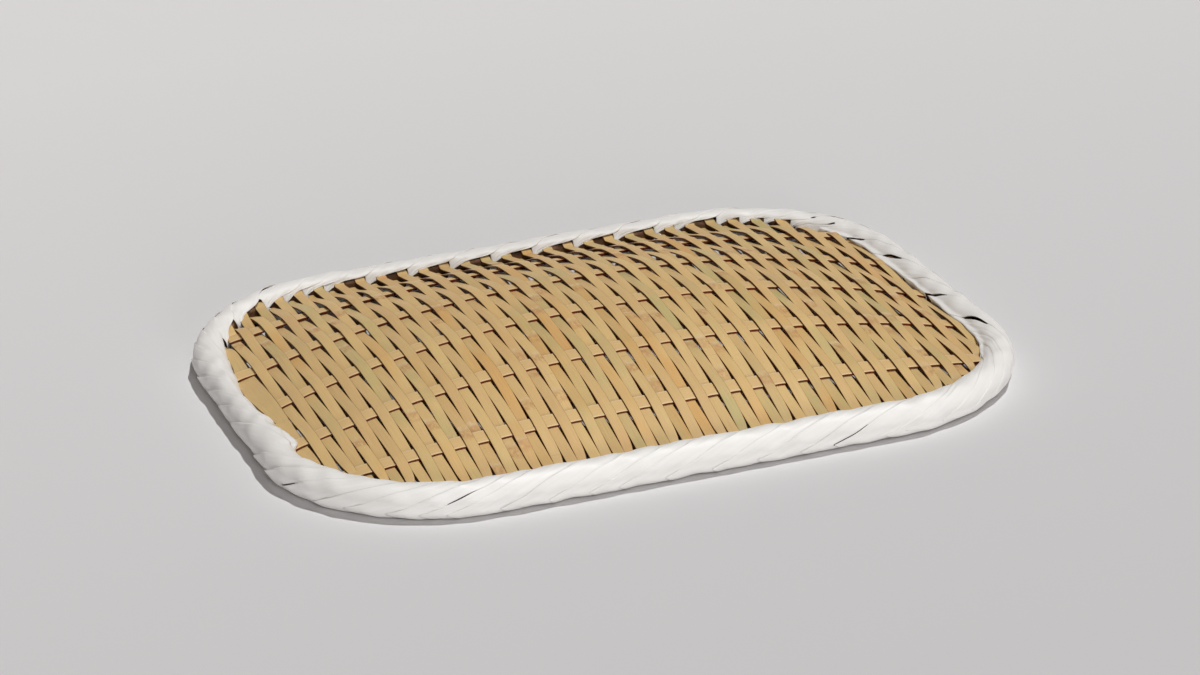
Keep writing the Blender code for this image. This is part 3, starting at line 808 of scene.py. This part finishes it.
def addNode(tree, kind, settings):
    # Adds a node. A key is one of its inputs, by name or number, or else a property, and a value
    # that is another node's output is linked to its input.
    node = tree.nodes.new(kind)
    for key, value in settings.items():
        if isinstance(value, bpy.types.NodeSocket):
            tree.links.new(value, node.inputs[key])
        elif isinstance(key, int) or key in node.inputs.keys():
            node.inputs[key].default_value = value
        else:
            setattr(node, key, value)
    return node


def layOver(tree, tint, over, strength, *parts, blend="MIX"):
    # Lays a colour over a tint by the strength times every part, where a part is a source and the
    # two values of it that count as none and all
    factor = strength
    for source, none, full in parts:
        part = {"Value": source, "From Min": none, "From Max": full, "To Max": factor}
        factor = addNode(tree, "ShaderNodeMapRange", part).outputs[0]
    tint, over = (colour(c) if isinstance(c, str) else c for c in (tint, over))
    mix = {"data_type": "RGBA", "blend_type": blend, 0: factor, 6: tint, 7: over}
    return addNode(tree, "ShaderNodeMix", mix).outputs[2]


def stretchedNoise(tree, across, along, detail=3, roughness=0.5):
    # Noise in the strip's own UV, its cells this wide and long in mm
    uv = addNode(tree, "ShaderNodeUVMap", {"uv_map": "UVMap"}).outputs[0]
    cells = {"Vector": uv, "Scale": (uvUnit / across, uvUnit / along, 1)}
    scaled = addNode(tree, "ShaderNodeMapping", cells).outputs[0]
    noise = {"Vector": scaled, "Scale": 1.0, "Detail": detail, "Roughness": roughness}
    return addNode(tree, "ShaderNodeTexNoise", noise).outputs[0]


def finishSurface(tree, shader, look, tint, height):
    tree.links.new(tint, shader.inputs["Base Color"])
    shader.inputs["Roughness"].default_value = look["roughness"]
    shader.inputs["IOR"].default_value = look["ior"]
    strength, depth = look["relief"]
    relief = {"Strength": strength, "Distance": depth, "Height": height}
    tree.links.new(addNode(tree, "ShaderNodeBump", relief).outputs[0], shader.inputs["Normal"])


bamboo = {
    # Colour of the skin, which for the hoops is dark painted shade, the dark red-brown painted
    # shade of the cut sides, and the values that the meshes carry
    "weft": {"skinAndShade": "#E2C28B", "cut": "#561A02",
             "carried": ("toneA", "toneB", "toneC", "fromNode", "under", "cut")},
    "warp": {"skinAndShade": "#E0BF8B", "cut": "#6A2A02", "carried": ("fromEdge", "under", "cut")},
    # Hoops: dark brown as painted shade in the hollows under the tape
    "hoop": {"skinAndShade": "#5E4433", "carried": ("crest",)},
    # Browner undersides: painted shade under the strips
    "underside": "#A8713C",
    "roughness": 0.5,
    "ior": 1.3,
    "relief": (0.25, 0.0002),  # strength, and depth in metres
}


def weftTint(tree, tint, carried):
    # Every weft has its own tone, and some are greenish or orange in patches of some centimetres.
    # Each node is a brown mottled band with a pale scuffed one beside it.
    tint = layOver(tree, tint, "#D8B784", 1, (carried["toneA"], 0, 1))
    tint = layOver(tree, tint, "#BDB481", 0.8, (carried["toneB"], 0.35, 0.9),
                   (stretchedNoise(tree, 50, 50), 0.4, 0.6))
    tint = layOver(tree, tint, "#DBA866", 0.75, (carried["toneC"], 0.55, 1.0),
                   (stretchedNoise(tree, 33.333, 66.667), 0.42, 0.6))
    mottle = stretchedNoise(tree, 2, 4, 5, 0.65)
    place = carried["fromNode"]
    tint = layOver(tree, tint, "#B88A62", 0.75, (place, -6.5, -3.5), (place, 3.5, 2.0),
                   (mottle, 0.38, 0.6))
    return layOver(tree, tint, "#E4CCA8", 0.75, (place, 0.5, 2.5), (place, 6.5, 4.5),
                   (mottle, 0.424, 0.578))


def bambooMaterial(name, kind):
    # Split bamboo, satin: fibres run along the strip as fine streaks about 0.3 mm wide, with slow
    # changes of colour over some centimetres. Warps carry a painted highlight along their edges.
    # Cut sides are painted dark red-brown and undersides browner, as painted shade in the gaps of
    # the weave. The hoops are painted dark brown as shade in the hollows under the tape, and their
    # crest is paler in places.
    material, tree, shader = newMaterial(name)
    look = bamboo[kind]
    carried = {key: addNode(tree, "ShaderNodeAttribute", {"attribute_name": key}).outputs["Fac"]
               for key in look["carried"]}
    tint = look["skinAndShade"]
    if kind == "weft":
        tint = weftTint(tree, tint, carried)
    tint = layOver(tree, tint, "#CDAA80", 0.3, (stretchedNoise(tree, 12.5, 33.333), 0.4, 0.7))
    streaks = stretchedNoise(tree, 0.3125, 20, 4, 0.6)
    fibre = layOver(tree, "#B8945F", "#F6E6C2", 1, (streaks, 0.3, 0.7))
    tint = layOver(tree, tint, fibre, 0.2, blend="OVERLAY")
    if kind == "warp":
        # Painted highlight: a pale band along the warp's edges
        tint = layOver(tree, tint, "#F0D6AC", 0.6, (carried["fromEdge"], 1.1, 0.7))
    # Painted shade: the hoop is dark brown as it lies in the hollows under the tape, its crest
    # paler in places
    if kind == "hoop":
        tint = layOver(tree, tint, "#DDB08E", 1, (carried["crest"], 0, 1),
                       (stretchedNoise(tree, 100, 20), 0.48, 0.56))
    else:
        # Painted shade: the undersides are browner, for the shade in the gaps of the weave
        tint = layOver(tree, tint, bamboo["underside"], 0.9, (carried["under"], 0, 1))
        # Painted shade: the cut sides are dark red-brown, for the shade in the gaps of the weave
        tint = layOver(tree, tint, look["cut"], 1, (carried["cut"], 0, 1))
    finishSurface(tree, shader, bamboo, tint, stretchedNoise(tree, 0.4545, 25, 4, 0.6))
    return material


plasticTape = {
    "dull": "#F3F1ED",
    "clean": "#F9F7F4",
    "roughness": 0.5,
    "ior": 1.5,
    "relief": (0.3, 0.0004),
}


def plasticTapeMaterial():
    # Matte white packing tape, slightly warm, with creases of some millimetres along it
    material, tree, shader = newMaterial("matte white tape")
    tone = stretchedNoise(tree, 5, 16.667)
    tint = layOver(tree, plasticTape["dull"], plasticTape["clean"], 1, (tone, 0.3, 0.7))
    finishSurface(tree, shader, plasticTape, tint, stretchedNoise(tree, 2.8571, 25, 4, 0.55))
    return material


weftMaterial = bambooMaterial("satin split bamboo, wefts", "weft")
warpMaterial = bambooMaterial("satin split bamboo, warps", "warp")
hoopMaterial = bambooMaterial("split bamboo, hoops, painted shade", "hoop")
tapeMaterial = plasticTapeMaterial()


# Setting: floor, light and camera, with places in metres and angles in degrees

setting = {
    "floorSize": 12,
    # Floor colours: painted shade, darker at the front and lighter at the back
    "floorShadedFront": "#DAD9DA",
    "floorLitBack": "#EAE8E9",
    "floorShade": (-0.35, 0.55),  # y where the first colour ends and the second begins
    "floorRoughness": 0.9,
    "wallPlace": 1.6,
    "wallHeight": 0.5,
    "lamps": {"sun": {"azimuth": 6, "elevation": 74, "angle": 1.5, "strength": 1.98},
              "frontFill": {"azimuth": -92, "elevation": 4, "angle": 20, "strength": 1.45},
              "highFill": {"azimuth": -100, "elevation": 36, "angle": 30, "strength": 0.55}},
    "worldColour": "#FFDDBE",
    "worldStrength": 0.04,
    "lens": 117.84,  # mm, on a sensor this wide
    "sensorWidth": 36,
    "cameraReach": 50,
    "cameraPlace": (-0.55961, -1.63951, 0.71317),
    "cameraAzimuth": -18.871,
    "cameraElevation": 21.949,
    "cameraRoll": -2.807,
}


def direction(azimuth, elevation):
    # Unit vector: azimuth anticlockwise from +X, elevation up from the floor, both in radians
    return Vector((math.cos(azimuth) * math.cos(elevation),
                   math.sin(azimuth) * math.cos(elevation), math.sin(elevation)))


def addFlat(name, corners, material):
    mesh = bpy.data.meshes.new(name)
    mesh.from_pydata(corners, [], [(0, 1, 2, 3)])
    mesh.materials.append(material)
    piece = bpy.data.objects.new(name, mesh)
    bpy.context.scene.collection.objects.link(piece)
    piece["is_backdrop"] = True


def addFloor():
    # A pale floor, painted darker towards the front and lighter towards the back as shade, and a
    # pale wall behind it, out of the picture, for the weave to reflect
    half = setting["floorSize"] / 2
    y, top = setting["wallPlace"], setting["wallHeight"]
    material, tree, shader = newMaterial("pale matte floor")
    place = addNode(tree, "ShaderNodeTexCoord", {}).outputs["Object"]
    along = addNode(tree, "ShaderNodeSeparateXYZ", {"Vector": place}).outputs["Y"]
    # Painted shade: the floor is darker towards the front
    shade = layOver(tree, setting["floorShadedFront"], setting["floorLitBack"], 1,
                    (along, *setting["floorShade"]))
    tree.links.new(shade, shader.inputs["Base Color"])
    shader.inputs["Roughness"].default_value = setting["floorRoughness"]
    addFlat("floor", [(-half, -half, 0), (half, -half, 0), (half, half, 0), (-half, half, 0)],
            material)
    addFlat("wall", [(-half, y, 0), (half, y, 0), (half, y, top), (-half, y, top)], material)


def addLight():
    for name, lamp in setting["lamps"].items():
        data = bpy.data.lights.new(name, "SUN")
        data.energy = lamp["strength"]
        data.angle = math.radians(lamp["angle"])
        holder = bpy.data.objects.new(name, data)
        bpy.context.scene.collection.objects.link(holder)
        towards = direction(math.radians(lamp["azimuth"]), math.radians(lamp["elevation"]))
        holder.rotation_euler = towards.to_track_quat("Z", "Y").to_euler()
        holder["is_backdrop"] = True
    world = bpy.data.worlds.new("studio")
    world.use_nodes = True
    background = world.node_tree.nodes["Background"]
    background.inputs[0].default_value = colour(setting["worldColour"])
    background.inputs[1].default_value = setting["worldStrength"]
    bpy.context.scene.world = world


def addCamera():
    # Fitted to the photograph. The azimuth is counted from straight in front of the tray.
    data = bpy.data.cameras.new("camera")
    data.sensor_width = setting["sensorWidth"]
    data.lens = setting["lens"]
    data.clip_end = setting["cameraReach"]
    camera = bpy.data.objects.new("camera", data)
    bpy.context.scene.collection.objects.link(camera)
    azimuth, elevation, roll = (math.radians(setting[key]) for key in
                                ("cameraAzimuth", "cameraElevation", "cameraRoll"))
    back = direction(azimuth - math.pi / 2, elevation)
    right = (-back).cross(Vector((0, 0, 1))).normalized()
    up = right.cross(-back)
    across = math.cos(roll) * right + math.sin(roll) * up
    upright = -math.sin(roll) * right + math.cos(roll) * up
    turned = Matrix((across, upright, back)).transposed()
    camera.matrix_world = Matrix.Translation(setting["cameraPlace"]) @ turned.to_4x4()
    bpy.context.scene.camera = camera


addWefts()
print("wefts done")
addWarps()
addHoop("inner")
addHoop("outer")
print("warps and hoops done")
addBinding()
addFloor()
addLight()
addCamera()
print("setting done")
bpy.context.scene.view_settings.view_transform = "Standard"

boxes = {"frame": cadBox, "finished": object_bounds()}
boxes = {key: [[float(v) for v in corner] for corner in box] for key, box in boxes.items()}
